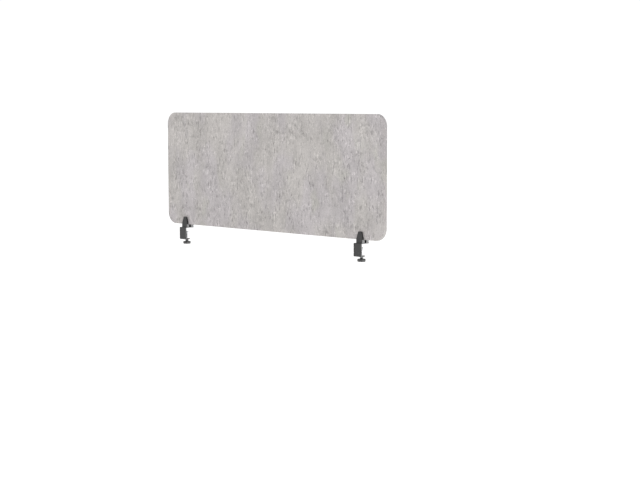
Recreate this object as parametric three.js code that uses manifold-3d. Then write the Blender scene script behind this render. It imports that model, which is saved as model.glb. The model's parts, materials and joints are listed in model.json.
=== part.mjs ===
// Desk privacy panel: a felt-faced board held above the back edge of a desk by two clamps.
// Millimetres, +Z up. +X runs along the panel, +Y points towards the person at the desk.
// Origin: halfway between the clamps, on the top outer edge of the desk
// (z = 0 is the desk's surface, y = 0 is the desk's back edge face).
import * as THREE from 'three';
import { mergeVertices } from 'three/addons/utils/BufferGeometryUtils.js';
import Module from 'manifold-3d';

const wasm = await Module();
wasm.setup();

// ---------- driving dimensions ----------

// Panel
const PANEL_WIDTH = 1600;
const PANEL_HEIGHT = 600;
const PANEL_CORNER = 60;       // radius of the four corners
const PANEL_OUTER = 20;        // y of the face that looks away from the user
const PANEL_BOTTOM = 19;       // height of the panel's lower edge above the desk
const FELT = 4;                // thickness of each felt face
const CORE = 12;               // thickness of the pressed core
const PANEL_INNER = PANEL_OUTER + 2 * FELT + CORE;
const MID_Y = (PANEL_OUTER + PANEL_INNER) / 2;   // the two jaws mirror about this plane

// Where the clamps sit, and the desk top that they hold at rest
const CLAMP_X = 650;           // 150 mm in from the panel's ends
const DESK = 19;               // thickness of the desk top

// Gaps between neighbouring pieces
const FIT = 0.3;               // around a pressed-in or fastened piece
const GRIP = 0.25;             // between a rubber grip and the panel
const REST = 0.2;              // between stacked or seated pieces

// Foot plate, on the desk
const FOOT_PAD = 1;            // rubber under the foot plate
const FOOT_TOP = 3.5;          // top of the foot plate
const FOOT_END = 62;           // how far it reaches over the desk
const FOOT_CORNER = 8;
const SLOT_HALF = 3.4;         // half the width of the slot for the inner jaw's key
const SLOT_START = 37;
const SLOT_END = 60;

// Plate over the desk's edge, and the arm under the desk
const SPINE_WIDTH = 51;
const SPINE_THICK = 5;
const SPINE_CHAMFER = 2;       // slope along the bottom front edge
const ARM_BOTTOM = -61.5;
const ARM_TOP = -58;
const ARM_END_RADIUS = 17;
const GUSSET = 8;              // size of the two ribs in the corner of the arm
const GUSSET_WIDTH = 4;
const GUSSET_X = 13;

// Jaws
const JAW_WIDTH = 40;
const JAW_STRAIGHT = 22;       // the jaw's sides are upright up to here
const JAW_TOP = 59;
const JAW_FRONT = 7.5;         // y of the outer jaw's front face at its foot
const JAW_LEAN = 4;            // the front face leans back by this much at the top
const JAW_BACK = 13.5;         // y of the outer tongue's back face
const SHOULDER_Y = 24;         // the shoulder under the panel reaches this far
const SHOULDER_TOP = PANEL_BOTTOM - REST;
const INNER_FRONT = 2 * MID_Y - JAW_FRONT;       // y of the inner jaw's outer face

// Jaw screw, M6, along Y
const JAW_SCREW_Z = 11.5;
const JAW_SCREW_RADIUS = 3;
const JAW_SCREW_TIP = 10.5;
const JAW_BORE = JAW_SCREW_RADIUS + 0.4;
const JAW_INSERT_RADIUS = 4.5;
const JAW_INSERT_START = 9.8;
const CLIP_START = 34.6;       // groove for the clip, between the two shoulders
const CLIP_END = 35.7;
const CLIP_DEPTH = 0.6;
const WASHER_RADIUS = 6.8;
const JAW_KNOB_RADIUS = 7.5;
const JAW_KNOB_START = INNER_FRONT + 1.4;
const JAW_KNOB_LENGTH = 12;
const JAW_KNOB_BORE = 9;       // how deep the screw sits in the knob

// Clamp screw, M8, upright
const SCREW_Y = 24;
const SCREW_RADIUS = 4;
const SCREW_INSERT_RADIUS = 6;
const BOSS_BOTTOM = -66;
const BOSS_RADIUS = 10.5;
const BALL_RADIUS = 4;
const BALL_Z = -DESK - 7.2;    // centre of the ball on the screw's upper end
const NECK_RADIUS = 2.2;

// Pressure disc on the ball
const DISC_RADIUS = 9;
const DISC_TOP = -DESK - 1.2;
const CUP_RADIUS = 7.2;
const CUP_BOTTOM = BALL_Z - 5.2;
const CUP_MOUTH_RADIUS = 6;
const CUP_MOUTH_TOP = BALL_Z - 2.4;
const DISC_PAD_RADIUS = 8.2;

// Star knob
const KNOB_TOP = -73;
const KNOB_BOTTOM = -87;
const KNOB_HUB_TOP = -68;
const KNOB_HUB_RADIUS = 8;
const KNOB_RADIUS = 20.5;
const KNOB_CORE_RADIUS = 14.4;
const KNOB_LOBES = 7;
const LOBE_RADIUS = 6.9;
const KNOB_FLOOR = 2;          // plastic under the screw's end

const ROUND = 24;              // segments of a visible round piece
const SMALL_ROUND = 16;

// ---------- materials ----------
const material = (color, roughness, metalness = 0) =>
  new THREE.MeshStandardMaterial({ color, roughness, metalness });
const felt = material(0xb4b1ae, 0.95);
const pressedCore = material(0xa9a7a4, 0.95);
const blackPaint = material(0x3c3b3d, 0.55, 0.2);
const blackPlastic = material(0x2b2b2d, 0.5);
const rubber = material(0x1c1c1d, 0.85);
const zinc = material(0xc2c5c9, 0.35, 0.9);
const brass = material(0xb89b5e, 0.4, 0.9);

// ---------- solids ----------
function toSolid(geometry) {
  const bare = geometry.index ? geometry.toNonIndexed() : geometry.clone();
  bare.deleteAttribute('normal');
  bare.deleteAttribute('uv');
  const welded = mergeVertices(bare, 1e-4);
  return new wasm.Manifold(new wasm.Mesh({
    numProp: 3,
    vertProperties: welded.attributes.position.array,
    triVerts: new Uint32Array(welded.index.array),
  }));
}

function toGeometry(solid) {
  const mesh = solid.getMesh();
  const geometry = new THREE.BufferGeometry();
  geometry.setAttribute('position', new THREE.BufferAttribute(new Float32Array(mesh.vertProperties), 3));
  geometry.setIndex(new THREE.BufferAttribute(new Uint32Array(mesh.triVerts), 1));
  geometry.computeVertexNormals();
  return geometry;
}

function part(name, solid, finish) {
  const mesh = new THREE.Mesh(toGeometry(solid), finish);
  mesh.name = name;
  return mesh;
}

function prism(shape, depth, curveSegments) {
  return new THREE.ExtrudeGeometry(shape, { depth, bevelEnabled: false, curveSegments });
}

// An outline drawn in (x, y), standing from z0 to z1.
function upPrism(shape, z0, z1, curveSegments) {
  return toSolid(prism(shape, z1 - z0, curveSegments).translate(0, 0, z0));
}

// An outline drawn in (x, z), running from y0 to y1.
function alongY(shape, y0, y1, curveSegments) {
  return toSolid(prism(shape, y1 - y0, curveSegments).rotateX(Math.PI / 2).translate(0, y1, 0));
}

// An outline drawn in (y, z), running from x0 to x1.
function alongX(shape, x0, x1) {
  const turn = new THREE.Matrix4().set(0, 0, 1, 0, 1, 0, 0, 0, 0, 1, 0, 0, 0, 0, 0, 1);
  return toSolid(prism(shape, x1 - x0).applyMatrix4(turn).translate(x0, 0, 0));
}

// A profile of [radius, height] points turned about an upright axis at (x, y).
function turnedZ(points, x, y, segments = ROUND) {
  const profile = points.map(([r, z]) => new THREE.Vector2(r, z));
  return toSolid(new THREE.LatheGeometry(profile, segments).rotateX(Math.PI / 2).translate(x, y, 0));
}

// A profile of [radius, y] points turned about the jaw screw's axis.
function turnedY(points, segments = SMALL_ROUND) {
  const profile = points.map(([r, y]) => new THREE.Vector2(r, y));
  return toSolid(new THREE.LatheGeometry(profile, segments).translate(0, 0, JAW_SCREW_Z));
}

// A closed ring profile, for pieces with a hole right through.
function ring(inner, outer, from, to) {
  return [[inner, from], [outer, from], [outer, to], [inner, to], [inner, from]];
}

// A plain cylinder profile.
function rod(radius, from, to) {
  return [[0, from], [radius, from], [radius, to], [0, to]];
}

// Points on an arc about (0, centre), as [radius, height], from one angle to another.
function arcPoints(radius, centre, from, steps) {
  const points = [];
  for (let i = 0; i < steps; i += 1) {
    const angle = from + (Math.PI / 2 - from) * i / steps;
    points.push([radius * Math.cos(angle), centre + radius * Math.sin(angle)]);
  }
  points.push([0, centre + radius]);
  return points;
}

function polygon(points) {
  return new THREE.Shape(points.map(([a, b]) => new THREE.Vector2(a, b)));
}

function roundedRectangle(x0, y0, x1, y1, r) {
  const shape = new THREE.Shape();
  shape.moveTo(x0 + r, y0);
  shape.lineTo(x1 - r, y0);
  shape.absarc(x1 - r, y0 + r, r, -Math.PI / 2, 0);
  shape.lineTo(x1, y1 - r);
  shape.absarc(x1 - r, y1 - r, r, 0, Math.PI / 2);
  shape.lineTo(x0 + r, y1);
  shape.absarc(x0 + r, y1 - r, r, Math.PI / 2, Math.PI);
  shape.lineTo(x0, y0 + r);
  shape.absarc(x0 + r, y0 + r, r, Math.PI, 1.5 * Math.PI);
  return shape;
}

// The same solid seen from the other side of the panel.
function mirrored(solid) {
  return solid.mirror([0, 1, 0]).translate([0, 2 * MID_Y, 0]);
}

// ---------- the panel ----------
function panelLayer(y0, y1) {
  const half = PANEL_WIDTH / 2;
  const outline = roundedRectangle(-half, PANEL_BOTTOM, half, PANEL_BOTTOM + PANEL_HEIGHT, PANEL_CORNER);
  return alongY(outline, y0, y1, 10);
}

function panel() {
  const group = new THREE.Group();
  const coreStart = PANEL_OUTER + FELT;
  const coreEnd = coreStart + CORE;
  group.add(part('outer_felt', panelLayer(PANEL_OUTER, coreStart), felt));
  group.add(part('core_board', panelLayer(coreStart, coreEnd), pressedCore));
  group.add(part('inner_felt', panelLayer(coreEnd, PANEL_INNER), felt));
  return group;
}

// ---------- one clamp, drawn about x = 0 ----------

// Front outline of a jaw: straight at the foot, then drawn in to a rounded top.
function jawOutline(inset, bottom, top) {
  const half = JAW_WIDTH / 2 - inset;
  const shape = new THREE.Shape();
  shape.moveTo(-half, bottom);
  shape.lineTo(half, bottom);
  shape.lineTo(half, JAW_STRAIGHT);
  shape.quadraticCurveTo(half - 1.6, 34, half - 7.4, top - 7);
  shape.quadraticCurveTo(half - 8.6, top, half - 12.5, top);
  shape.lineTo(12.5 - half, top);
  shape.quadraticCurveTo(8.6 - half, top, 7.4 - half, top - 7);
  shape.quadraticCurveTo(1.6 - half, 34, -half, JAW_STRAIGHT);
  return shape;
}

// Side profile of a jaw in (y, z): a shoulder that carries the panel and a leaning tongue.
function jawProfile(bottom) {
  return polygon([
    [JAW_FRONT, bottom],
    [SHOULDER_Y, bottom],
    [SHOULDER_Y, SHOULDER_TOP],
    [JAW_BACK, SHOULDER_TOP],
    [JAW_BACK, JAW_TOP],
    [JAW_FRONT + JAW_LEAN, JAW_TOP],
    [JAW_FRONT, PANEL_BOTTOM],
  ]);
}

function jawSolid(bottom) {
  const side = alongX(jawProfile(bottom), -JAW_WIDTH / 2, JAW_WIDTH / 2);
  const front = alongY(jawOutline(0, bottom, JAW_TOP), JAW_FRONT - 1, SHOULDER_Y + 1, 6);
  return side.intersect(front);
}

function jawPad() {
  return alongY(jawOutline(1, PANEL_BOTTOM + REST, JAW_TOP - 1), JAW_BACK, PANEL_OUTER - GRIP, 6);
}

// The plate that hooks over the desk's edge.
function spine() {
  const half = SPINE_WIDTH / 2;
  const front = roundedRectangle(-half, ARM_BOTTOM, half, FOOT_TOP, 2);
  const side = polygon([
    [0, ARM_BOTTOM],
    [0, FOOT_TOP],
    [1 - SPINE_THICK, FOOT_TOP],
    [-SPINE_THICK, FOOT_TOP - 1],
    [-SPINE_THICK, ARM_BOTTOM + SPINE_CHAMFER],
    [SPINE_CHAMFER - SPINE_THICK, ARM_BOTTOM],
  ]);
  return alongY(front, -SPINE_THICK, 0, 4).intersect(alongX(side, -half, half));
}

// The plate on the desk: as wide as the spine at the edge, then as wide as the jaws.
function footPlate() {
  const half = SPINE_WIDTH / 2;
  const narrow = JAW_WIDTH / 2;
  const r = FOOT_CORNER;
  const foot = new THREE.Shape();
  foot.moveTo(-half, -1);
  foot.lineTo(half, -1);
  foot.lineTo(half, 3);
  foot.quadraticCurveTo(half, 8, narrow, 8);
  foot.lineTo(narrow, FOOT_END - r);
  foot.absarc(narrow - r, FOOT_END - r, r, 0, Math.PI / 2);
  foot.lineTo(r - narrow, FOOT_END);
  foot.absarc(r - narrow, FOOT_END - r, r, Math.PI / 2, Math.PI);
  foot.lineTo(-narrow, 8);
  foot.quadraticCurveTo(-half, 8, -half, 3);
  const slot = roundedRectangle(-SLOT_HALF, SLOT_START, SLOT_HALF, SLOT_END, SLOT_HALF - 0.01);
  return upPrism(foot, FOOT_PAD, FOOT_TOP, 5).subtract(upPrism(slot, 0, FOOT_TOP + 1, 5));
}

// The tongue under the desk: its sides run straight to the round end about the screw's axis.
function lowerArm() {
  const half = SPINE_WIDTH / 2;
  const start = 2;
  const reach = SCREW_Y - start;
  const tangent = Math.acos(ARM_END_RADIUS / Math.hypot(half, reach)) - Math.atan2(reach, half);
  const outline = new THREE.Shape();
  outline.moveTo(-half, -1);
  outline.lineTo(half, -1);
  outline.lineTo(half, start);
  outline.absarc(0, SCREW_Y, ARM_END_RADIUS, tangent, Math.PI - tangent);
  outline.lineTo(-half, start);
  const top = ARM_BOTTOM + 1;
  const boss = [[0, BOSS_BOTTOM], [BOSS_RADIUS - 1.5, BOSS_BOTTOM], [BOSS_RADIUS, top], [0, top]];
  return upPrism(outline, ARM_BOTTOM, ARM_TOP, 14).add(turnedZ(boss, 0, SCREW_Y));
}

function gussets() {
  const rib = polygon([
    [-1, ARM_TOP - 1],
    [GUSSET, ARM_TOP - 1],
    [GUSSET, ARM_TOP],
    [0, ARM_TOP + GUSSET],
    [-1, ARM_TOP + GUSSET],
  ]);
  const start = GUSSET_X - GUSSET_WIDTH / 2;
  return alongX(rib, start, start + GUSSET_WIDTH).add(alongX(rib, -start - GUSSET_WIDTH, -start));
}

function clampBody() {
  const screwHole = rod(SCREW_INSERT_RADIUS + FIT, BOSS_BOTTOM - 1, ARM_TOP + 1);
  const jawHole = rod(JAW_INSERT_RADIUS + FIT, JAW_INSERT_START - FIT, SHOULDER_Y + 1);
  return spine()
    .add(footPlate())
    .add(lowerArm())
    .add(gussets())
    .add(jawSolid(FOOT_PAD))
    .subtract(turnedZ(screwHole, 0, SCREW_Y))
    .subtract(turnedY(jawHole));
}

function footPad() {
  return upPrism(roundedRectangle(-18.5, 3, 18.5, FOOT_END - 2, FOOT_CORNER - 1), 0, FOOT_PAD, 5);
}

// The inner jaw mirrors the outer one, with a key below it and a plain hole for the screw.
function innerJaw() {
  const keyHalf = SLOT_HALF - FIT;
  const key = roundedRectangle(-keyHalf, SLOT_START + 3, keyHalf, SLOT_END - 10, keyHalf - 0.6);
  return mirrored(jawSolid(FOOT_TOP + FIT))
    .add(upPrism(key, FOOT_PAD + FIT, FOOT_TOP + 1, 4))
    .subtract(turnedY(rod(JAW_BORE, MID_Y, INNER_FRONT + 1)));
}

function jawScrew() {
  const r = JAW_SCREW_RADIUS;
  const waist = r - CLIP_DEPTH;
  const end = JAW_KNOB_START + JAW_KNOB_BORE;
  return turnedY([
    [0, JAW_SCREW_TIP], [r - 0.8, JAW_SCREW_TIP], [r, JAW_SCREW_TIP + 0.8],
    [r, CLIP_START], [waist, CLIP_START], [waist, CLIP_END], [r, CLIP_END],
    [r, end], [0, end],
  ]);
}

function jawClip() {
  const inner = JAW_SCREW_RADIUS - CLIP_DEPTH + FIT;
  return turnedY(ring(inner, 5, CLIP_START + REST, CLIP_END - 0.1));
}

function jawKnob() {
  const start = JAW_KNOB_START;
  const end = start + JAW_KNOB_LENGTH;
  const r = JAW_KNOB_RADIUS;
  const bore = JAW_SCREW_RADIUS + FIT;
  const boreEnd = start + JAW_KNOB_BORE + FIT;
  return turnedY([
    [bore, start], [r - 2, start], [r - 2, start + 1], [r - 0.8, start + 1], [r, start + 1.8],
    [r, end - 1], [r - 1, end], [0, end],
    [0, boreEnd], [bore, boreEnd], [bore, start],
  ], ROUND);
}

function clampScrew() {
  const r = SCREW_RADIUS;
  const end = KNOB_BOTTOM + KNOB_FLOOR;
  const ball = arcPoints(BALL_RADIUS, BALL_Z, -Math.acos(NECK_RADIUS / BALL_RADIUS), 9);
  return turnedZ([
    [0, end], [r - 0.8, end], [r, end + 0.8],
    [r, BALL_Z - 7.5], [NECK_RADIUS, BALL_Z - 5.7], ...ball,
  ], 0, SCREW_Y, SMALL_ROUND);
}

// A flat disc with a cup under it that opens downwards over the screw's ball.
function pressureDisc() {
  const socket = BALL_RADIUS + FIT;
  return turnedZ([
    [0, DISC_TOP], [DISC_RADIUS, DISC_TOP], [DISC_RADIUS, DISC_TOP - 2], [CUP_RADIUS, DISC_TOP - 4],
    [CUP_RADIUS, CUP_BOTTOM], [CUP_MOUTH_RADIUS, CUP_BOTTOM], [CUP_MOUTH_RADIUS, CUP_MOUTH_TOP],
    [socket, CUP_MOUTH_TOP], ...arcPoints(socket, BALL_Z, 0, 6),
  ].reverse(), 0, SCREW_Y);
}

function discPad() {
  const start = DISC_TOP + REST;
  const r = DISC_PAD_RADIUS;
  return turnedZ([
    [0, start], [r - 0.4, start], [r, start + 0.4], [r, -DESK - 0.3], [r - 0.3, -DESK], [0, -DESK],
  ], 0, SCREW_Y);
}

// A hand knob with seven lobes, hollowed from above for the screw.
function starKnob() {
  const core = KNOB_CORE_RADIUS;
  let head = turnedZ([
    [0, KNOB_BOTTOM], [core - 2.4, KNOB_BOTTOM], [core, KNOB_BOTTOM + 1.6], [core, KNOB_TOP - 1.6],
    [core - 2.4, KNOB_TOP], [KNOB_HUB_RADIUS, KNOB_TOP], [KNOB_HUB_RADIUS, KNOB_HUB_TOP], [0, KNOB_HUB_TOP],
  ], 0, SCREW_Y);
  const bottom = KNOB_BOTTOM + 0.4;
  const top = KNOB_TOP - 0.4;
  const r = LOBE_RADIUS;
  const lobe = [[0, bottom], [r - 1.6, bottom], [r, bottom + 1.6], [r, top - 1.6], [r - 1.6, top], [0, top]];
  for (let i = 0; i < KNOB_LOBES; i += 1) {
    const angle = (i + 0.25) * 2 * Math.PI / KNOB_LOBES;
    const out = KNOB_RADIUS - r;
    head = head.add(turnedZ(lobe, out * Math.cos(angle), SCREW_Y + out * Math.sin(angle), SMALL_ROUND));
  }
  const bore = rod(SCREW_RADIUS + FIT, KNOB_BOTTOM + KNOB_FLOOR - FIT, KNOB_HUB_TOP + 1);
  return head.subtract(turnedZ(bore, 0, SCREW_Y, SMALL_ROUND));
}

function clamp(side, x) {
  const group = new THREE.Group();
  group.position.x = x;
  const add = (name, solid, finish) => group.add(part(`${side}_${name}`, solid, finish));
  const jawInsert = ring(JAW_SCREW_RADIUS + FIT, JAW_INSERT_RADIUS, JAW_INSERT_START, SHOULDER_Y - FIT);
  const screwInsert = ring(SCREW_RADIUS + FIT, SCREW_INSERT_RADIUS, BOSS_BOTTOM + FIT, ARM_TOP - FIT);
  const washer = ring(JAW_BORE, WASHER_RADIUS, INNER_FRONT + REST, INNER_FRONT + REST + 1);
  const snapRing = ring(NECK_RADIUS + 1, 5.4, BALL_Z - 4, BALL_Z - 3);

  add('clamp_body', clampBody(), blackPaint);
  add('outer_jaw_pad', jawPad(), rubber);
  add('foot_pad', footPad(), rubber);
  add('jaw_insert', turnedY(jawInsert), brass);
  add('screw_insert', turnedZ(screwInsert, 0, SCREW_Y, SMALL_ROUND), brass);

  add('inner_jaw', innerJaw(), blackPaint);
  add('inner_jaw_pad', mirrored(jawPad()), rubber);
  add('jaw_washer', turnedY(washer), zinc);

  add('jaw_screw', jawScrew(), zinc);
  add('jaw_clip', jawClip(), zinc);
  add('jaw_knob', jawKnob(), blackPlastic);

  add('clamp_screw', clampScrew(), zinc);
  add('star_knob', starKnob(), blackPlastic);
  add('snap_ring', turnedZ(snapRing, 0, SCREW_Y, SMALL_ROUND), zinc);
  add('pressure_disc', pressureDisc(), zinc);
  add('disc_pad', discPad(), rubber);
  return group;
}

const deskPanel = new THREE.Group();
deskPanel.add(panel());
deskPanel.add(clamp('left', -CLAMP_X));
deskPanel.add(clamp('right', CLAMP_X));

export default deskPanel;
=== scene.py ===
"""Desk privacy panel: the looks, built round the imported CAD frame.

Metres, in the frame's own axes: +X along the panel, +Y towards the person at the desk, +Z up,
z = 0 the desk's surface and y = 0 its back edge. Profiles are written in millimetres.
"""

import json
import math

import bmesh
import bpy
import numpy as np
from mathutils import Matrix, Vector


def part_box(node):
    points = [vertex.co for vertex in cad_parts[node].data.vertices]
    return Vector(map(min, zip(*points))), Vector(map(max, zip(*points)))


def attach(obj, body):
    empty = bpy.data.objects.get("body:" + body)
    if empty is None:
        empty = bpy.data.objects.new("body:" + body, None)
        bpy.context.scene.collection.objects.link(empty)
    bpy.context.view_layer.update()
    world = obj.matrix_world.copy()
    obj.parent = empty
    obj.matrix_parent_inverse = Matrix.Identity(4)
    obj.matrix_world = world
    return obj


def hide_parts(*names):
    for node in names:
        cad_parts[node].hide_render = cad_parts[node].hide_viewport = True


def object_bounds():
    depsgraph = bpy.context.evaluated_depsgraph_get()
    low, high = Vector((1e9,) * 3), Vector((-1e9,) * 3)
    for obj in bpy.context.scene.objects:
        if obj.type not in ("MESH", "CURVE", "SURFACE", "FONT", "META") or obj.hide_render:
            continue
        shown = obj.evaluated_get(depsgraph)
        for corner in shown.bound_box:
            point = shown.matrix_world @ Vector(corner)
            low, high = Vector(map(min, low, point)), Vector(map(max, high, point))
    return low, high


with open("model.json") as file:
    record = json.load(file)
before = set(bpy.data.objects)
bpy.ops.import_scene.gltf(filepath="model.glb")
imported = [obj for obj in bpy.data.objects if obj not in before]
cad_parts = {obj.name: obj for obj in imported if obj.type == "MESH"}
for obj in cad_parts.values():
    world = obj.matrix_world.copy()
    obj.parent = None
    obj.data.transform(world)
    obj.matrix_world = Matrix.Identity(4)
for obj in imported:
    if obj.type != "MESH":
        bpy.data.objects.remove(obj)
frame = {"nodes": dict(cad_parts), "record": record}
cad_low, cad_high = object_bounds()

MM = 0.001
SIDES = ("left", "right")
BODIES = frame["record"]["behaviour"]["bodies"]
BODY_OF = {node: body for body, nodes in BODIES.items() for node in nodes}
SLOT_OF = {row["node"]: row["material_slot"] for row in frame["record"]["subparts"]}


# ---------- camera, floor and light ----------

CAMERA_PLACE = Vector((5.5363, -5.1401, 0.6751))
CAMERA_TURN = math.radians(45.0)      # round from square on, towards the panel's right end
CAMERA_DIP = math.radians(5.315)      # below the horizon
CAMERA_LENS = 83.81
CAMERA_SHIFT = (-0.0009, 0.0011)
FLOOR_DROP = 0.024                    # the star knobs come down 21 mm, and still clear the floor
ROOM_LIGHT = 0.78                     # strength of the white room as a light
ROOM_WHITE = 1.05                     # and as a background


def add_camera():
    data = bpy.data.cameras.new("camera")
    data.sensor_width = 36.0
    data.lens = CAMERA_LENS
    data.shift_x, data.shift_y = CAMERA_SHIFT
    data.clip_end = 100.0
    camera = bpy.data.objects.new("camera", data)
    bpy.context.scene.collection.objects.link(camera)
    ahead = Vector((
        -math.sin(CAMERA_TURN) * math.cos(CAMERA_DIP),
        math.cos(CAMERA_TURN) * math.cos(CAMERA_DIP),
        -math.sin(CAMERA_DIP),
    ))
    camera.rotation_mode = "QUATERNION"
    camera.location = CAMERA_PLACE
    camera.rotation_quaternion = ahead.to_track_quat("-Z", "Y")
    bpy.context.scene.camera = camera


def add_area_light(name, towards, distance, size, power):
    """A soft box at a distance from the panel's middle, in the direction given, facing the panel."""
    data = bpy.data.lights.new(name, "AREA")
    data.shape = "RECTANGLE"
    data.size, data.size_y = size
    data.energy = power
    light = bpy.data.objects.new(name, data)
    bpy.context.scene.collection.objects.link(light)
    middle = (cad_low + cad_high) / 2
    direction = Vector(towards).normalized()
    light.location = middle + direction * distance
    light.rotation_mode = "QUATERNION"
    light.rotation_quaternion = (-direction).to_track_quat("-Z", "Y")


def add_studio():
    scene = bpy.context.scene
    scene.view_settings.view_transform = "Standard"
    world = bpy.data.worlds.new("white_room")
    world.use_nodes = True
    tree = world.node_tree
    seen = tree.nodes.new("ShaderNodeLightPath").outputs["Is Camera Ray"]
    strength = tree.nodes.new("ShaderNodeMapRange")
    strength.inputs["To Min"].default_value = ROOM_LIGHT
    strength.inputs["To Max"].default_value = ROOM_WHITE
    tree.links.new(seen, strength.inputs["Value"])
    tree.links.new(strength.outputs[0], tree.nodes["Background"].inputs["Strength"])
    tree.nodes["Background"].inputs["Color"].default_value = (1.0, 1.0, 1.0, 1.0)
    scene.world = world
    add_area_light("key", (0.2, -1.0, 0.8), 4.0, (3.0, 2.0), 22.0)
    add_area_light("rear_right", (1.0, 0.95, -0.01), 7.4, (1.6, 0.5), 215.0)
    add_floor()


def add_floor():
    half = 30.0
    level = cad_low.z - FLOOR_DROP
    mesh = bpy.data.meshes.new("floor")
    corners = [(-half, -half, level), (half, -half, level), (half, half, level), (-half, half, level)]
    mesh.from_pydata(corners, [], [(0, 1, 2, 3)])
    floor = bpy.data.objects.new("floor", mesh)
    bpy.context.scene.collection.objects.link(floor)
    material = bpy.data.materials.new("pale_floor")
    material.use_nodes = True
    shader = material.node_tree.nodes["Principled BSDF"]
    shader.inputs["Base Color"].default_value = (0.55, 0.55, 0.55, 1.0)
    shader.inputs["Roughness"].default_value = 0.9
    shader.inputs["Emission Color"].default_value = (1.0, 1.0, 1.0, 1.0)
    shader.inputs["Emission Strength"].default_value = 0.68
    mesh.materials.append(material)


# ---------- materials ----------

class Surface:
    """A material with a Principled shader, and short calls for the nodes that feed it."""

    def __init__(self, name, **inputs):
        self.material = bpy.data.materials.new(name)
        self.material.use_nodes = True
        self.tree = self.material.node_tree
        self.shader = self.tree.nodes["Principled BSDF"]
        self.where = self.add("ShaderNodeTexCoord").outputs["Object"]
        for label, value in inputs.items():
            self.set(label.replace("_", " "), value)

    def set(self, label, value):
        self.feed(self.shader.inputs[label], value)

    def add(self, kind, inputs=None, **attributes):
        node = self.tree.nodes.new(kind)
        for key, value in attributes.items():
            setattr(node, key, value)
        for key, value in (inputs or {}).items():
            self.feed(node.inputs[key], value)
        return node

    def feed(self, socket, value):
        if isinstance(value, bpy.types.NodeSocket):
            self.tree.links.new(value, socket)
        else:
            socket.default_value = value

    def placed(self, scale, turn=(0.0, 0.0, 0.0), shift=(0.0, 0.0, 0.0)):
        """Coordinates with so many cells to the metre along each axis, after a turn."""
        turned = self.add("ShaderNodeMapping", {
            "Vector": self.where, "Rotation": turn, "Location": shift,
        }).outputs[0]
        return self.add("ShaderNodeMapping", {"Vector": turned, "Scale": scale}).outputs[0]

    def noise(self, scale, detail=2.0, rough=0.5, turn=(0.0, 0.0, 0.0), shift=(0.0, 0.0, 0.0)):
        where = self.placed(scale, turn, shift)
        node = self.add("ShaderNodeTexNoise", {
            "Vector": where, "Scale": 1.0, "Detail": detail, "Roughness": rough,
        })
        return node.outputs[0]

    def curl(self, scale, reach_mm):
        """Bends every pattern made after this one, by up to half the reach each way."""
        where = self.placed((scale,) * 3)
        field = self.add("ShaderNodeTexNoise", {"Vector": where, "Scale": 1.0, "Detail": 2.0}).outputs[1]
        centred = self.combine("SUBTRACT", field, (0.5,) * 3)
        offset = self.combine("MULTIPLY", centred, (reach_mm * MM,) * 3)
        self.where = self.combine("ADD", self.where, offset)

    def combine(self, operation, a, b):
        """Sums, differences and products of vectors."""
        return self.add("ShaderNodeVectorMath", {0: a, 1: b}, operation=operation).outputs[0]

    def cells(self, scale):
        node = self.add("ShaderNodeTexVoronoi", {"Vector": self.placed(scale), "Scale": 1.0})
        return node.outputs["Distance"]

    def level(self, value, low, high, to_low=0.0, to_high=1.0):
        node = self.add("ShaderNodeMapRange", {
            "Value": value, "From Min": low, "From Max": high, "To Min": to_low, "To Max": to_high,
        }, interpolation_type="SMOOTHSTEP")
        return node.outputs[0]

    def math(self, operation, a, b):
        return self.add("ShaderNodeMath", {0: a, 1: b}, operation=operation).outputs[0]

    def mix(self, factor, a, b, blend="MIX"):
        node = self.add("ShaderNodeMix", {0: factor, 6: a, 7: b}, data_type="RGBA", blend_type=blend)
        return node.outputs[2]

    def bump(self, height, depth_mm, strength=1.0, under=None):
        inputs = {"Height": height, "Distance": depth_mm * MM, "Strength": strength}
        if under is not None:
            inputs["Normal"] = under
        return self.add("ShaderNodeBump", inputs).outputs[0]


def grey(value, tint=(1.0, 1.0, 1.0)):
    return (value * tint[0], value * tint[1], value * tint[2], 1.0)


FELT_TINT = (1.055, 1.0, 0.988)
FELT_VALUE = 0.45
# The core's value sits below the felt's as painted shade. It holds the core on the end faces, which the
# rear_right lamp lights, to the front faces' brightness.
CORE_SHADED_VALUE = 0.38


def tinted(value, shift):
    """The felt's own tint, shifted a little."""
    return grey(value, tuple(a * b for a, b in zip(FELT_TINT, shift)))


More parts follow.
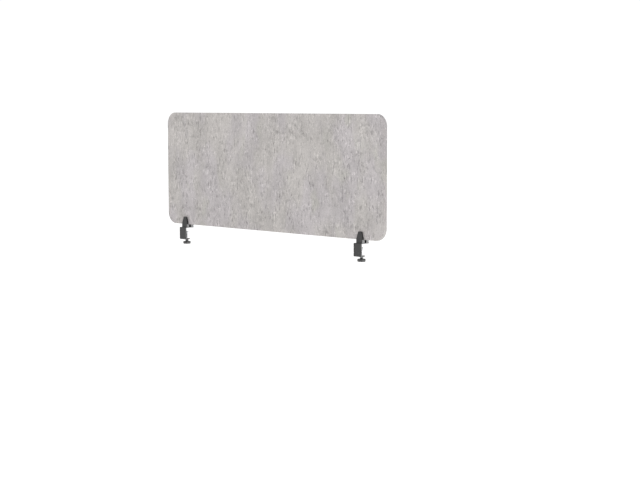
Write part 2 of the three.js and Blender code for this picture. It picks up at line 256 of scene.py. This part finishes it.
def felt_material(name, value, fleck_share=1.0):
    """Needle-punched heathered felt: drifts of tint, short upright flecks, and fine curled fibres."""
    s = Surface(name, Roughness=0.95)
    s.set("Sheen Weight", 0.1)
    s.set("Sheen Roughness", 0.6)
    s.set("Specular IOR Level", 0.15)

    drift = s.level(s.noise((6.0, 6.0, 3.4), 3.0), 0.4, 0.6)
    colour = s.mix(drift, tinted(value, (1.0, 1.003, 0.98)), tinted(value, (0.998, 0.993, 1.015)))
    greenish = s.level(s.noise((9.0, 9.0, 5.0), 2.0, shift=(3.1, 0.0, 1.7)), 0.58, 0.72)
    colour = s.mix(greenish, colour, tinted(value, (0.99, 1.006, 0.965)))
    s.curl(150.0, 5.0)

    def streaks(wide, tall, low, high, shift):
        """Upright flecks about so many millimetres wide and tall, from 0 to 1."""
        field = s.noise((500.0 / wide, 500.0 / wide, 500.0 / tall), 4.0, 0.68, shift=shift)
        return s.level(field, low, high)

    def shaded(shade, mask, amount):
        return s.math("MULTIPLY", shade, s.level(mask, 0.0, 1.0, 1.0, 1.0 + amount))

    cloud = s.noise((14.0, 14.0, 7.0), 3.0, shift=(0.0, 0.0, 5.3))
    busy = s.level(s.noise((22.0, 22.0, 14.0), 2.0, shift=(8.0, 0.0, 0.0)), 0.36, 0.64, 0.4, 1.0)
    shade = s.level(cloud, 0.32, 0.68, 0.92, 1.08)
    dark = s.math("MULTIPLY", streaks(5.0, 16.0, 0.5, 0.62, (0.0, 0.0, 0.0)), busy)
    small = s.math("MULTIPLY", streaks(3.2, 9.0, 0.52, 0.64, (5.0, 0.0, 4.0)), busy)
    light = s.math("MULTIPLY", streaks(5.0, 14.0, 0.5, 0.62, (1.3, 0.0, 2.9)), busy)
    shade = shaded(shade, dark, -0.35 * fleck_share)
    shade = shaded(shade, small, -0.24 * fleck_share)
    shade = shaded(shade, light, 0.28 * fleck_share)

    fibres = 0.5
    for i, lean in enumerate((0.12, -0.6, 0.9, -1.3)):
        turn, shift = (0.0, lean, 0.0), (0.0, 0.0, 0.37 * i)
        strand = s.noise((900.0, 900.0, 110.0), 2.0, 0.6, turn, shift)
        crisp = s.level(strand, 0.36, 0.64, -0.25, 0.25)
        fibres = s.math("ADD", fibres, crisp)
    shade = s.math("MULTIPLY", shade, s.level(fibres, 0.0, 1.0, 0.87, 1.13))
    lumps = s.noise((160.0, 160.0, 90.0), 3.0, 0.6)
    tone = s.add("ShaderNodeCombineColor", {0: shade, 1: shade, 2: shade}).outputs[0]
    s.set("Base Color", s.mix(1.0, colour, tone, "MULTIPLY"))
    s.set("Normal", s.bump(fibres, 0.35, 0.6, under=s.bump(lumps, 0.6, 0.35)))
    return s.material


def coat_material():
    """Charcoal powder coat: fine orange peel, a faint fleck, and slightly uneven sheen."""
    s = Surface("charcoal_powder_coat")
    patch = s.level(s.noise((60.0, 60.0, 60.0), 3.0), 0.35, 0.7)
    speck = s.level(s.noise((1500.0, 1500.0, 1500.0), 1.0), 0.55, 0.75)
    colour = s.mix(patch, grey(0.024, (1.0, 0.99, 1.02)), grey(0.032, (1.01, 1.0, 1.0)))
    colour = s.mix(s.math("MULTIPLY", speck, 0.5), colour, grey(0.06))
    s.set("Base Color", colour)
    s.set("Roughness", s.level(patch, 0.0, 1.0, 0.3, 0.37))
    peel = s.noise((700.0, 700.0, 700.0), 2.0)
    s.set("Normal", s.bump(peel, 0.06, 0.5))
    return s.material


def plastic_material():
    """Black moulded plastic with a fine spark-eroded grain, polished where hands turn it."""
    s = Surface("black_moulded_plastic")
    handled = s.level(s.noise((90.0, 90.0, 90.0), 2.0), 0.4, 0.65)
    s.set("Base Color", s.mix(handled, grey(0.022), grey(0.034)))
    s.set("Roughness", s.level(handled, 0.0, 1.0, 0.36, 0.26))
    s.set("Specular IOR Level", 0.85)
    s.set("Normal", s.bump(s.cells((1400.0, 1400.0, 1400.0)), 0.08, 0.4))
    return s.material


def rubber_material():
    """Black rubber: matt, dusty in the hollows."""
    s = Surface("black_rubber")
    dust = s.level(s.noise((240.0, 240.0, 240.0), 4.0, 0.65), 0.5, 0.75)
    s.set("Base Color", s.mix(dust, grey(0.016), grey(0.035, (1.02, 1.0, 0.97))))
    s.set("Roughness", s.level(dust, 0.0, 1.0, 0.72, 0.92))
    s.set("Specular IOR Level", 0.35)
    s.set("Normal", s.bump(s.noise((900.0, 900.0, 900.0), 2.0), 0.06, 0.5))
    return s.material


def metal_material(name, light, dark, rough):
    """Turned metal: faint cloudy staining and fine tool marks."""
    s = Surface(name, Metallic=1.0)
    cloud = s.level(s.noise((180.0, 180.0, 180.0), 3.0), 0.35, 0.7)
    marks = s.noise((300.0, 300.0, 6000.0), 1.0)
    s.set("Base Color", s.mix(cloud, light, dark))
    s.set("Roughness", s.level(cloud, 0.0, 1.0, rough, rough + 0.14))
    s.set("Normal", s.bump(marks, 0.02, 0.4))
    return s.material


def make_materials():
    zinc, zinc_stain = (0.62, 0.63, 0.66, 1.0), (0.5, 0.5, 0.5, 1.0)
    brass, brass_stain = (0.62, 0.46, 0.2, 1.0), (0.45, 0.31, 0.13, 1.0)
    return {
        "felt": felt_material("heathered_felt", FELT_VALUE),
        # The core's darker value is painted shade against the rear_right lamp on the end faces.
        "core": felt_material("pressed_fibre_core_shaded", CORE_SHADED_VALUE, fleck_share=0.4),
        "black_coat": coat_material(),
        "black_plastic": plastic_material(),
        "grip_rubber": rubber_material(),
        "zinc_steel": metal_material("zinc_plate", zinc, zinc_stain, 0.28),
        "brass_insert": metal_material("turned_brass", brass, brass_stain, 0.32),
    }


# ---------- mesh tools ----------

def skin(bm, rings, closed=False, ends=True):
    """Quads between successive rings of points. closed joins the last ring to the first."""
    rows = [[bm.verts.new(p) for p in ring] for ring in rings]
    pairs = list(zip(rows, rows[1:]))
    if closed:
        pairs.append((rows[-1], rows[0]))
    count = len(rows[0])
    for lower, upper in pairs:
        for j in range(count):
            k = (j + 1) % count
            bm.faces.new((lower[j], lower[k], upper[k], upper[j]))
    if ends and not closed:
        bm.faces.new(rows[0])
        bm.faces.new(rows[-1])


def piece_from(bm, node, crease=35.0):
    """Turns the mesh being built, in metres, into a piece that stands for a CAD node.

    Edges sharper than crease, in degrees, stay sharp.
    """
    bmesh.ops.remove_doubles(bm, verts=bm.verts, dist=1e-6)
    bmesh.ops.dissolve_degenerate(bm, edges=bm.edges, dist=1e-7)
    bmesh.ops.recalc_face_normals(bm, faces=bm.faces)
    name = f"{node}_detail"
    mesh = bpy.data.meshes.new(name)
    bm.to_mesh(mesh)
    bm.free()
    mesh.polygons.foreach_set("use_smooth", [True] * len(mesh.polygons))
    mesh.set_sharp_from_angle(angle=math.radians(crease))
    piece = bpy.data.objects.new(name, mesh)
    bpy.context.scene.collection.objects.link(piece)
    mesh.materials.append(MATERIALS[SLOT_OF[node]])
    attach(piece, BODY_OF[node])
    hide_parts(node)
    return piece


def eased(points, radius, closed=False, steps=3):
    """A profile with its corners rounded. An open profile keeps its two ends."""
    points = [np.array(p, float) for p in points]
    count = len(points)
    result = []
    for i, corner in enumerate(points):
        if not closed and i in (0, count - 1):
            result.append(corner)
            continue
        before, after = points[i - 1], points[(i + 1) % count]
        reach_in = min(radius, np.linalg.norm(before - corner) * 0.45)
        reach_out = min(radius, np.linalg.norm(after - corner) * 0.45)
        start = corner + (before - corner) / np.linalg.norm(before - corner) * reach_in
        end = corner + (after - corner) / np.linalg.norm(after - corner) * reach_out
        for t in np.linspace(0.0, 1.0, steps + 1):
            result.append((1 - t) ** 2 * start + 2 * t * (1 - t) * corner + t * t * end)
    return result


class Spindle:
    """Turns profiles about an axis along Z or Y.

    A profile's rows are [radius, height] in millimetres; the centre is in metres.
    """

    def __init__(self, centre, axis, segments):
        self.centre = Vector(centre)
        self.axis = axis
        self.segments = segments
        self.bm = bmesh.new()

    def point(self, radius, along, angle):
        across, up = radius * MM * math.cos(angle), radius * MM * math.sin(angle)
        if self.axis == "Z":
            return Vector((self.centre.x + across, self.centre.y + up, along * MM))
        return Vector((self.centre.x + across, along * MM, self.centre.z + up))

    def angles(self):
        return [2 * math.pi * j / self.segments for j in range(self.segments)]

    def turn(self, profile, closed=False):
        """Adds a profile's surface. A row's radius may be a function of the angle."""
        rings = []
        for radius, along in profile:
            shape = radius if callable(radius) else (lambda angle, r=radius: r)
            rings.append([self.point(shape(angle), along, angle) for angle in self.angles()])
        skin(self.bm, rings, closed=closed, ends=False)

    def thread(self, crest, root, pitch, start, end):
        """A helical thread from one height to the other, running out to the root radius at both."""
        shape = ((0.12, root), (0.44, crest), (0.56, crest), (0.88, root))
        rows = []
        for turn in range(-2, math.ceil((end - start) / pitch) + 1):
            for share, radius in shape:
                row = []
                for j, angle in enumerate(self.angles() + [2 * math.pi]):
                    along = start + (turn + share + j / self.segments) * pitch
                    along = min(max(along, start), end)
                    run_out = min(1.0, (along - start) / pitch, (end - along) / pitch)
                    reach = root + (radius - root) * run_out
                    row.append(self.bm.verts.new(self.point(reach, along, angle)))
                rows.append(row)
        for lower, upper in zip(rows, rows[1:]):
            for j in range(self.segments):
                self.bm.faces.new((lower[j], lower[j + 1], upper[j + 1], upper[j]))


# ---------- the panel ----------

GRID_STEP = 8.0           # between grid lines, in the middle of a face
PANEL_CORNER = 60.0
FELT_ROLL = 2.0           # rounding of a felt's edge on the outside
FELT_SEAM = 0.3           # and against the core
FELT_WAVE = 0.12          # how far a felt face swells in and out
WAVE_EDGE = 12.0          # it swells less than this near to its edge
CORE_EASE = 0.8
CORE_INSET = 0.25         # the core stands back from the felts


def cell_lines(half, corner, step):
    """Grid lines across a face: evenly over the straight middle, and evenly over each corner."""
    middle = max(2, round(2 * (half - corner) / step))
    round_part = max(4, round(corner / step))
    left = np.linspace(-half, corner - half, round_part, endpoint=False)
    centre = np.linspace(corner - half, half - corner, middle, endpoint=False)
    right = np.linspace(half - corner, half, round_part + 1)
    return np.concatenate([left, centre, right])


def rounded_place(x, z, half_x, half_z, corner):
    """Where a grid point of the full rectangle goes in the rectangle with round corners."""
    cx, cz = half_x - corner, half_z - corner
    a, b = (abs(x) - cx) / corner, (abs(z) - cz) / corner
    if a <= 0 or b <= 0:
        return x, z
    reach = max(a, b)
    angle = math.pi / 4 * b / a if a >= b else math.pi / 2 - math.pi / 4 * a / b
    px, pz = cx + corner * reach * math.cos(angle), cz + corner * reach * math.sin(angle)
    return math.copysign(px, x), math.copysign(pz, z)


def slab(node, front_round, back_round, inset, wave):
    """A layer of the panel: quads on both faces, and edges rounded front and back."""
    low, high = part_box(node)
    middle = (low + high) / (2 * MM)
    half_x, half_z = (high.x - low.x) / (2 * MM) - inset, (high.z - low.z) / (2 * MM) - inset
    corner = PANEL_CORNER - inset
    bm = bmesh.new()
    xs, zs = cell_lines(half_x, corner, GRID_STEP), cell_lines(half_z, corner, GRID_STEP)
    last_x, last_z = len(xs) - 1, len(zs) - 1
    rim = [(i, 0) for i in range(last_x)] + [(last_x, k) for k in range(last_z)]
    rim += [(i, last_z) for i in range(last_x, 0, -1)] + [(0, k) for k in range(last_z, 0, -1)]

    def face(y, pulled_in, outward):
        """One face, drawn in from the outline by the size of its edge's rounding."""
        verts = {}
        for i, x in enumerate(xs):
            for k, z in enumerate(zs):
                px, pz = rounded_place(x, z, half_x, half_z, corner)
                shrink_x, shrink_z = 1 - pulled_in / half_x, 1 - pulled_in / half_z
                px, pz = px * shrink_x, pz * shrink_z
                edge = min(half_x - abs(x), half_z - abs(z)) / WAVE_EDGE
                lift = outward * wave * min(1.0, edge) * swell(px, pz)
                place = Vector(((middle.x + px) * MM, (y + lift) * MM, (middle.z + pz) * MM))
                verts[i, k] = bm.verts.new(place)
        for i in range(last_x):
            for k in range(last_z):
                bm.faces.new((verts[i, k], verts[i + 1, k], verts[i + 1, k + 1], verts[i, k + 1]))
        return [verts[place] for place in rim]

    def ring(y, pulled_in):
        row = []
        for i, k in rim:
            px, pz = rounded_place(xs[i], zs[k], half_x, half_z, corner)
            px, pz = px * (1 - pulled_in / half_x), pz * (1 - pulled_in / half_z)
            row.append(bm.verts.new(Vector(((middle.x + px) * MM, y * MM, (middle.z + pz) * MM))))
        return row

    front, back = low.y / MM, high.y / MM
    rows = [face(front, front_round, -1)]
    for t in (0.3, 0.6, 1.0):
        deep, pulled_in = 1 - math.cos(t * math.pi / 2), 1 - math.sin(t * math.pi / 2)
        rows.append(ring(front + front_round * deep, front_round * pulled_in))
    for t in (1.0, 0.6, 0.3):
        deep, pulled_in = 1 - math.cos(t * math.pi / 2), 1 - math.sin(t * math.pi / 2)
        rows.append(ring(back - back_round * deep, back_round * pulled_in))
    rows.append(face(back, back_round, 1))
    for lower, upper in zip(rows, rows[1:]):
        for j in range(len(rim)):
            k = (j + 1) % len(rim)
            bm.faces.new((lower[j], lower[k], upper[k], upper[j]))
    return piece_from(bm, node, crease=60.0)


def swell(x, z):
    """Slow waves over a felt face, from -1 to 1, with x and z in millimetres."""
    long_x = math.sin(x / 97.0 + 1.3 * math.sin(z / 131.0))
    long_z = math.cos(z / 83.0 + 0.8 * math.sin(x / 151.0))
    short_x = math.sin(x / 31.0 + math.sin(z / 23.0))
    short_z = math.sin(z / 37.0 + 1.7 * math.cos(x / 43.0))
    return 0.6 * (long_x * long_z) + 0.4 * (short_x * short_z)


def add_panel():
    for node, front, back in (("outer_felt", FELT_ROLL, FELT_SEAM), ("inner_felt", FELT_SEAM, FELT_ROLL)):
        piece = slab(node, front, back, 0.0, FELT_WAVE)
    slab("core_board", CORE_EASE, CORE_EASE, CORE_INSET, 0.0)


# ---------- one clamp ----------

SCREW_CREST, SCREW_ROOT, SCREW_PITCH = 4.0, 3.3, 1.25      # M8
JAW_CREST, JAW_ROOT, JAW_PITCH = 3.0, 2.45, 1.0            # M6
BALL = 4.0                # radius of the ball on the clamp screw
NECK = 2.2                # radius of the neck below the ball
INNER_EASE = 0.3          # rounding of small metal edges
CAST_EASE = 0.7           # most that a casting's edges may be rounded; short edges hold it far below
CAST_JOIN = 1e-6          # metres between corners that are one
KNOB_LOBES = 7
KNOB_REACH = 20.5         # radius round the lobes
KNOB_LOBE = 6.9           # radius of one lobe
KNOB_CORE = 14.2          # radius between the lobes
KNOB_THICK = 14.0         # height of the lobes
JAW_HALF = 20.0           # half the width of a jaw's foot
JAW_STRAIGHT = 22.0       # its sides are upright up to here


def in_mm(node):
    """A CAD node's lowest and highest corners, in millimetres."""
    low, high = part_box(node)
    return low / MM, high / MM


def middle_of(node):
    low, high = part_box(node)
    return (low + high) / 2


def add_clamp_screw(side):
    """M8 screw: threaded shank, a neck, and a ball at its upper end."""
    node = f"{side}_clamp_screw"
    low, high = in_mm(node)
    ball = high.z - BALL
    spindle = Spindle(middle_of(node), "Z", 32)
    start, end = low.z + 1.2, ball - 7.4
    spindle.turn(eased([
        (0.0, low.z), (2.6, low.z), (SCREW_ROOT, low.z + 0.7), (SCREW_ROOT, start),
    ], 0.2))
    spindle.thread(SCREW_CREST, SCREW_ROOT, SCREW_PITCH, start, end)
    neck_angle = math.acos(NECK / BALL)
    profile = eased([
        (SCREW_ROOT, end), (SCREW_ROOT, ball - 6.8), (NECK, ball - 5.6), (NECK, ball - 3.4),
    ], 0.4)
    for angle in np.linspace(-neck_angle, math.pi / 2, 14):
        profile.append((BALL * max(math.cos(angle), 0.0), ball + BALL * math.sin(angle)))
    profile[-1] = (0.0, ball + BALL)
    spindle.turn(profile)
    piece_from(spindle.bm, node)


def add_jaw_screw(side):
    """M6 screw: threaded as far as the clip's groove, plain from there to the knob."""
    node = f"{side}_jaw_screw"
    low, high = in_mm(node)
    clip_low, clip_high = in_mm(f"{side}_jaw_clip")
    groove_start, groove_end = clip_low.y - 0.2, clip_high.y + 0.1
    start, end = low.y + 0.9, groove_start - 0.5
    waist = JAW_CREST - 0.6
    spindle = Spindle(middle_of(node), "Y", 28)
    spindle.turn(eased([
        (0.0, low.y), (1.9, low.y), (JAW_ROOT, low.y + 0.5), (JAW_ROOT, start),
    ], 0.2))
    spindle.thread(JAW_CREST, JAW_ROOT, JAW_PITCH, start, end)
    spindle.turn(eased([
        (JAW_ROOT, end), (waist, groove_start), (waist, groove_end), (JAW_CREST, groove_end),
        (JAW_CREST, high.y - 0.5), (JAW_CREST - 0.4, high.y), (0.0, high.y),
    ], 0.15))
    piece_from(spindle.bm, node)


def smooth_most(values, softness):
    """A smooth stand-in for the greatest of the values."""
    top = max(values)
    return top + softness * math.log(sum(math.exp((v - top) / softness) for v in values))


def add_star_knob(side):
    """Seven-lobed hand knob: flowing lobes, rounded rims, a filleted hub and a dished underside."""
    node = f"{side}_star_knob"
    low, high = in_mm(node)
    out = KNOB_REACH - KNOB_LOBE
    bottom, hub_top = low.z, high.z
    top = bottom + KNOB_THICK

    def outline(angle):
        reaches = [KNOB_CORE]
        for i in range(KNOB_LOBES):
            turn = angle - (i + 0.25) * 2 * math.pi / KNOB_LOBES
            under = KNOB_LOBE ** 2 - (out * math.sin(turn)) ** 2
            if under > 0 and math.cos(turn) > 0:
                reaches.append(out * math.cos(turn) + math.sqrt(under))
        return smooth_most(reaches, 0.35)

    def rim(inset):
        return lambda angle: outline(angle) - inset

    def flared(radius, share):
        """Between a circle and the lobed outline."""
        return lambda angle: radius + share * (outline(angle) - KNOB_CORE)

    profile = [
        (0.0, bottom + 1.4), (5.0, bottom + 1.4), (6.2, bottom + 1.2), (7.4, bottom + 0.5),
        (8.2, bottom + 0.1), (flared(9.2, 0.1), bottom), (rim(3.0), bottom + 0.02),
        (rim(1.5), bottom + 0.35), (rim(0.6), bottom + 0.95), (rim(0.15), bottom + 1.8),
        (rim(0.0), bottom + 2.8), (rim(0.0), bottom + 6.5), (rim(0.0), top - 2.8),
        (rim(0.15), top - 1.8), (rim(0.6), top - 0.95), (rim(1.5), top - 0.35), (rim(3.0), top - 0.02),
        (flared(10.4, 0.15), top), (9.0, top + 0.15), (8.3, top + 0.7), (8.0, top + 1.5),
        (7.8, hub_top - 0.8), (7.5, hub_top - 0.25), (6.9, hub_top), (4.8, hub_top),
        (4.3, hub_top - 0.5), (4.3, bottom + 1.8), (0.0, bottom + 1.8),
    ]
    spindle = Spindle(middle_of(f"{side}_clamp_screw"), "Z", KNOB_LOBES * 18)
    spindle.turn(profile)
    piece_from(spindle.bm, node, crease=50.0)


def add_jaw_knob(side):
    """Small round hand knob with straight knurling and a dished end."""
    node = f"{side}_jaw_knob"
    low, high = in_mm(node)
    start, end = low.y, high.y
    full, bore, teeth, depth = 7.5, 3.3, 36, 0.4

    def knurled(share):
        return lambda angle: full - 0.05 - share * depth * (0.5 - 0.5 * math.cos(teeth * angle)) ** 0.7

    profile = [
        (bore, start), (5.2, start), (5.45, start + 0.2), (5.5, start + 0.9), (5.8, start + 1.0),
        (6.7, start + 1.05), (7.2, start + 1.3), (full - 0.05, start + 1.8), (full - 0.05, start + 2.2),
        (knurled(0.3), start + 2.5), (knurled(1.0), start + 3.0), (knurled(1.0), start + 6.5),
        (knurled(1.0), end - 2.2), (knurled(0.3), end - 1.7), (full - 0.05, end - 1.4),
        (full - 0.1, end - 1.0), (full - 0.4, end - 0.4), (full - 1.0, end - 0.08), (full - 1.5, end),
        (full - 2.1, end - 0.1), (full - 2.9, end - 0.45), (full - 4.0, end - 0.6), (0.0, end - 0.65),
    ]
    spindle = Spindle(middle_of(f"{side}_jaw_screw"), "Y", teeth * 5)
    spindle.turn(profile)
    bore_end = start + 9.3
    spindle.turn([(bore, start), (bore, bore_end), (0.0, bore_end)])
    piece_from(spindle.bm, node, crease=50.0)


def add_insert(side, name, axis, crest, root, pitch, outer):
    """Brass insert, threaded inside, with a knurled barrel between two plain bands."""
    node = f"{side}_{name}"
    low, high = in_mm(node)
    start, end = (low.z, high.z) if axis == "Z" else (low.y, high.y)
    band, teeth = 1.2, 28

    def barrel(angle):
        return outer - 0.02 - 0.22 * abs(math.sin(teeth * angle / 2))

    spindle = Spindle(middle_of(node), axis, teeth * 4)
    spindle.thread(crest, root, pitch, start, end)
    spindle.turn([
        (root, start), (outer - 0.4, start), (outer, start + 0.3), (outer, start + band),
        (outer - 0.3, start + band), (barrel, start + band + 0.3),
        (barrel, end - band - 0.3), (outer - 0.3, end - band), (outer, end - band),
        (outer, end - 0.3), (outer - 0.4, end), (root, end),
    ])
    piece_from(spindle.bm, node)


def add_pressure_disc(side):
    """Swivel foot of the clamp screw: a flat disc and a cup closed under the ball."""
    node = f"{side}_pressure_disc"
    low, high = in_mm(node)
    top, bottom = high.z, low.z
    ball = top - 6.0
    socket = BALL + 0.3
    spindle = Spindle(middle_of(node), "Z", 72)
    outside = eased([
        (0.0, top), (9.0, top), (9.0, top - 2.0), (7.2, top - 4.0), (7.2, bottom), (6.0, bottom),
        (6.0, ball - 2.4), (socket, ball - 2.4), (socket, ball),
    ], INNER_EASE)
    rises = np.linspace(0, math.pi / 2, 12)[1:-1]
    dome = [(socket * math.cos(a), ball + socket * math.sin(a)) for a in rises]
    spindle.turn(outside + dome + [(0.0, ball + socket)])
    piece_from(spindle.bm, node)


def add_disc_pad(side):
    """Rubber face of the disc, with two ring grooves."""
    node = f"{side}_disc_pad"
    low, high = in_mm(node)
    top, bottom = high.z, low.z
    profile = [(0.0, top)]
    for groove in (3.0, 5.6):
        profile += [(groove - 0.5, top), (groove - 0.25, top - 0.4)]
        profile += [(groove + 0.25, top - 0.4), (groove + 0.5, top)]
    profile += [(7.9, top), (8.2, top - 0.3), (8.2, bottom + 0.4), (7.8, bottom), (0.0, bottom)]
    spindle = Spindle(middle_of(node), "Z", 72)
    spindle.turn(eased(profile, 0.12))
    piece_from(spindle.bm, node)


def add_washer(side):
    node = f"{side}_jaw_washer"
    low, high = in_mm(node)
    spindle = Spindle(middle_of(node), "Y", 64)
    section = [(3.4, low.y), (6.8, low.y), (6.8, high.y), (3.4, high.y)]
    spindle.turn(eased(section, 0.25, closed=True), closed=True)
    piece_from(spindle.bm, node)


def add_open_ring(side, name, axis, inner, outer, gap_degrees, tips):
    """A spring ring with a gap in it: its section runs round, and narrows to the tips."""
    node = f"{side}_{name}"
    low, high = in_mm(node)
    start, end = (low.z, high.z) if axis == "Z" else (low.y, high.y)
    spindle = Spindle(middle_of(node), axis, 1)
    gap = math.radians(gap_degrees)
    rings = []
    for share in np.linspace(0.0, 1.0, 41):
        angle = -math.pi / 2 + gap / 2 + share * (2 * math.pi - gap)
        wide = outer - tips * (1 - math.sin(math.pi * share)) ** 2
        corners = [(inner, start), (wide, start), (wide, end), (inner, end)]
        section = eased(corners, 0.25, closed=True, steps=2)
        rings.append([spindle.point(radius, along, angle) for radius, along in section])
    skin(spindle.bm, rings)
    piece_from(spindle.bm, node)


def bezier(a, b, c, steps):
    """Points on the curve from a to c that leans towards b."""
    return [
        ((1 - t) ** 2 * a[0] + 2 * t * (1 - t) * b[0] + t * t * c[0],
         (1 - t) ** 2 * a[1] + 2 * t * (1 - t) * b[1] + t * t * c[1])
        for t in np.linspace(0.0, 1.0, steps + 1)
    ]


def jaw_half_width(z, inset, top):
    """Half the width of a jaw, or of the pad inset in it, at a height."""
    half = JAW_HALF - inset
    side = bezier((half, JAW_STRAIGHT), (half - 1.6, 34.0), (half - 7.4, top - 7.0), 24)
    side += bezier((half - 7.4, top - 7.0), (half - 8.6, top), (half - 12.5, top), 24)[1:]
    return float(np.interp(z, [p[1] for p in side], [p[0] for p in side]))


def ribbed(start, end, pitch, depth, ends):
    """Heights along a ribbed pad, each with how deep its grip face is cut. Its ends are plain."""
    groove = ((0.28, 0.0), (0.36, 0.85), (0.42, 1.0), (0.58, 1.0), (0.64, 0.85), (0.72, 0.0))
    rows = [(start, 0.35), (start + 0.12, 0.12), (start + 0.35, 0.0), (start + ends, 0.0)]
    count = int((end - start - 2 * ends) / pitch)
    first = (start + end - count * pitch) / 2
    for i in range(count):
        at = first + i * pitch
        rows += [(at + share * pitch, cut * depth) for share, cut in groove]
    rows += [(end - ends, 0.0), (end - 0.35, 0.0), (end - 0.12, 0.12), (end, 0.35)]
    return rows


def add_jaw_pad(side, name):
    """Rubber block on a jaw: ribs across the face that grips the panel."""
    node = f"{side}_{name}"
    low, high = in_mm(node)
    x = middle_of(node).x / MM
    outer = name.startswith("outer")
    back, grip = (low.y, high.y) if outer else (high.y, low.y)
    inward = 1.0 if outer else -1.0
    bm = bmesh.new()
    rings = []
    for z, cut in ribbed(low.z, high.z, pitch=2.6, depth=0.7, ends=2.0):
        half = jaw_half_width(z, 1.0, high.z)
        section = eased([
            (-half, back), (half, back), (half, grip - inward * cut), (-half, grip - inward * cut),
        ], 0.5, closed=True)
        rings.append([Vector((x + across, y, z)) * MM for across, y in section])
    skin(bm, rings)
    piece_from(bm, node)


def add_foot_pad(side):
    """Thin rubber under the foot plate, ribbed from side to side."""
    node = f"{side}_foot_pad"
    low, high = in_mm(node)
    x = middle_of(node).x / MM
    full, corner = (high.x - low.x) / 2, 7.0
    bm = bmesh.new()
    rings = []
    ribs = ribbed(low.y + corner, high.y - corner, pitch=4.0, depth=0.4, ends=1.0)
    heights = {round(y, 3): cut for y, cut in ribs}
    rounds = [corner * (1 - math.cos(a)) for a in np.linspace(0.0, math.pi / 2, 9)]
    for reach in rounds[:-1]:
        heights[low.y + reach] = 0.0
        heights[high.y - reach] = 0.0
    for y in sorted(heights):
        near = max(0.0, corner - (y - low.y), corner - (high.y - y))
        half = full - corner + math.sqrt(max(corner ** 2 - near ** 2, 0.04))
        cut = heights[y]
        section = eased([
            (-half, low.z + cut), (half, low.z + cut), (half, high.z), (-half, high.z),
        ], 0.2, closed=True)
        rings.append([Vector((x + across, y, z)) * MM for across, z in section])
    skin(bm, rings)
    piece_from(bm, node)


def ease_casting(node):
    """Joins a CAD mesh's corners, so that it shades as one solid, and breaks its edges very slightly."""
    piece = frame["nodes"][node]
    piece.data.polygons.foreach_set("use_smooth", [True] * len(piece.data.polygons))
    joined = piece.modifiers.new("join_corners", "WELD")
    joined.merge_threshold = CAST_JOIN
    flats = piece.modifiers.new("join_flat_faces", "DECIMATE")
    flats.decimate_type = "DISSOLVE"
    flats.angle_limit = math.radians(0.5)
    edges = piece.modifiers.new("cast_edges", "BEVEL")
    edges.width = CAST_EASE * MM
    edges.segments = 3
    edges.limit_method = "ANGLE"
    edges.angle_limit = math.radians(32.0)
    faces = piece.modifiers.new("flat_faces_stay_flat", "WEIGHTED_NORMAL")
    faces.mode = "FACE_AREA"
    faces.keep_sharp = True


def add_clamp(side):
    ease_casting(f"{side}_clamp_body")
    ease_casting(f"{side}_inner_jaw")
    add_clamp_screw(side)
    add_star_knob(side)
    add_pressure_disc(side)
    add_disc_pad(side)
    add_open_ring(side, "snap_ring", "Z", 3.2, 5.4, 50.0, 0.3)
    add_insert(side, "screw_insert", "Z", 4.85, 4.3, SCREW_PITCH, 6.0)
    add_jaw_screw(side)
    add_jaw_knob(side)
    add_washer(side)
    add_open_ring(side, "jaw_clip", "Y", 2.7, 5.0, 70.0, 1.1)
    add_insert(side, "jaw_insert", "Y", 3.75, 3.3, JAW_PITCH, 4.5)
    add_jaw_pad(side, "outer_jaw_pad")
    add_jaw_pad(side, "inner_jaw_pad")
    add_foot_pad(side)


MATERIALS = make_materials()
add_camera()
add_studio()
add_panel()
for side in SIDES:
    add_clamp(side)

for name, node in frame["nodes"].items():
    node.data.materials.clear()
    node.data.materials.append(MATERIALS[SLOT_OF[name]])
